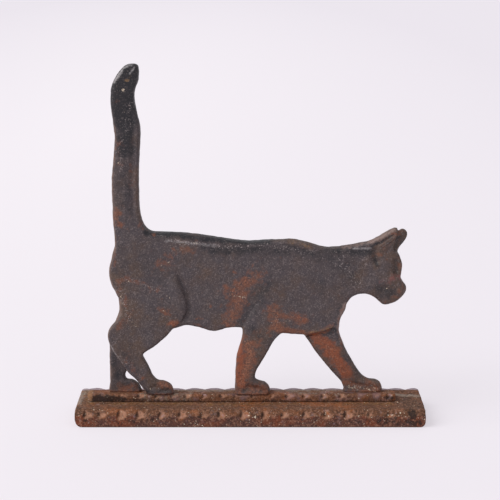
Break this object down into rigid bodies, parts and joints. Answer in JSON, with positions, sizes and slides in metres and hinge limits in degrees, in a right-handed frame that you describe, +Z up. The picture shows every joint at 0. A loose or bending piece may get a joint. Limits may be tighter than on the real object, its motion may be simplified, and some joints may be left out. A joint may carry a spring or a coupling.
{
  "type": "cast iron doorstop",
  "caption": "Cast iron doorstop: a walking cat with its tail raised as a handle, standing on a notched foot strip and a heavy notched base slab.",
  "frame": {"origin": "middle of the base slab's underside, which is the bottom centre of the whole part", "axes": "+Z up along the raised tail, +X along the slab towards the cat's head, +Y from the viewer's side to the far side, across the slab"},
  "size_m": [0.2302, 0.0524, 0.2359],
  "materials": {
    "slab_iron": "rusted, with remains of dark paint",
    "strip_iron": "rusted, with remains of dark paint",
    "figure_iron": "worn near-black paint with rust patches",
    "screw_steel": "darkened steel"
  },
  "bodies": {
    "root": {"base_slab": "slab_iron", "foot_strip": "strip_iron", "cat_figure": "figure_iron", "screw_near_hind_paw": "screw_steel", "screw_near_fore_paw": "screw_steel", "screw_far_fore_paw": "screw_steel"}
  },
  "joints": []
}
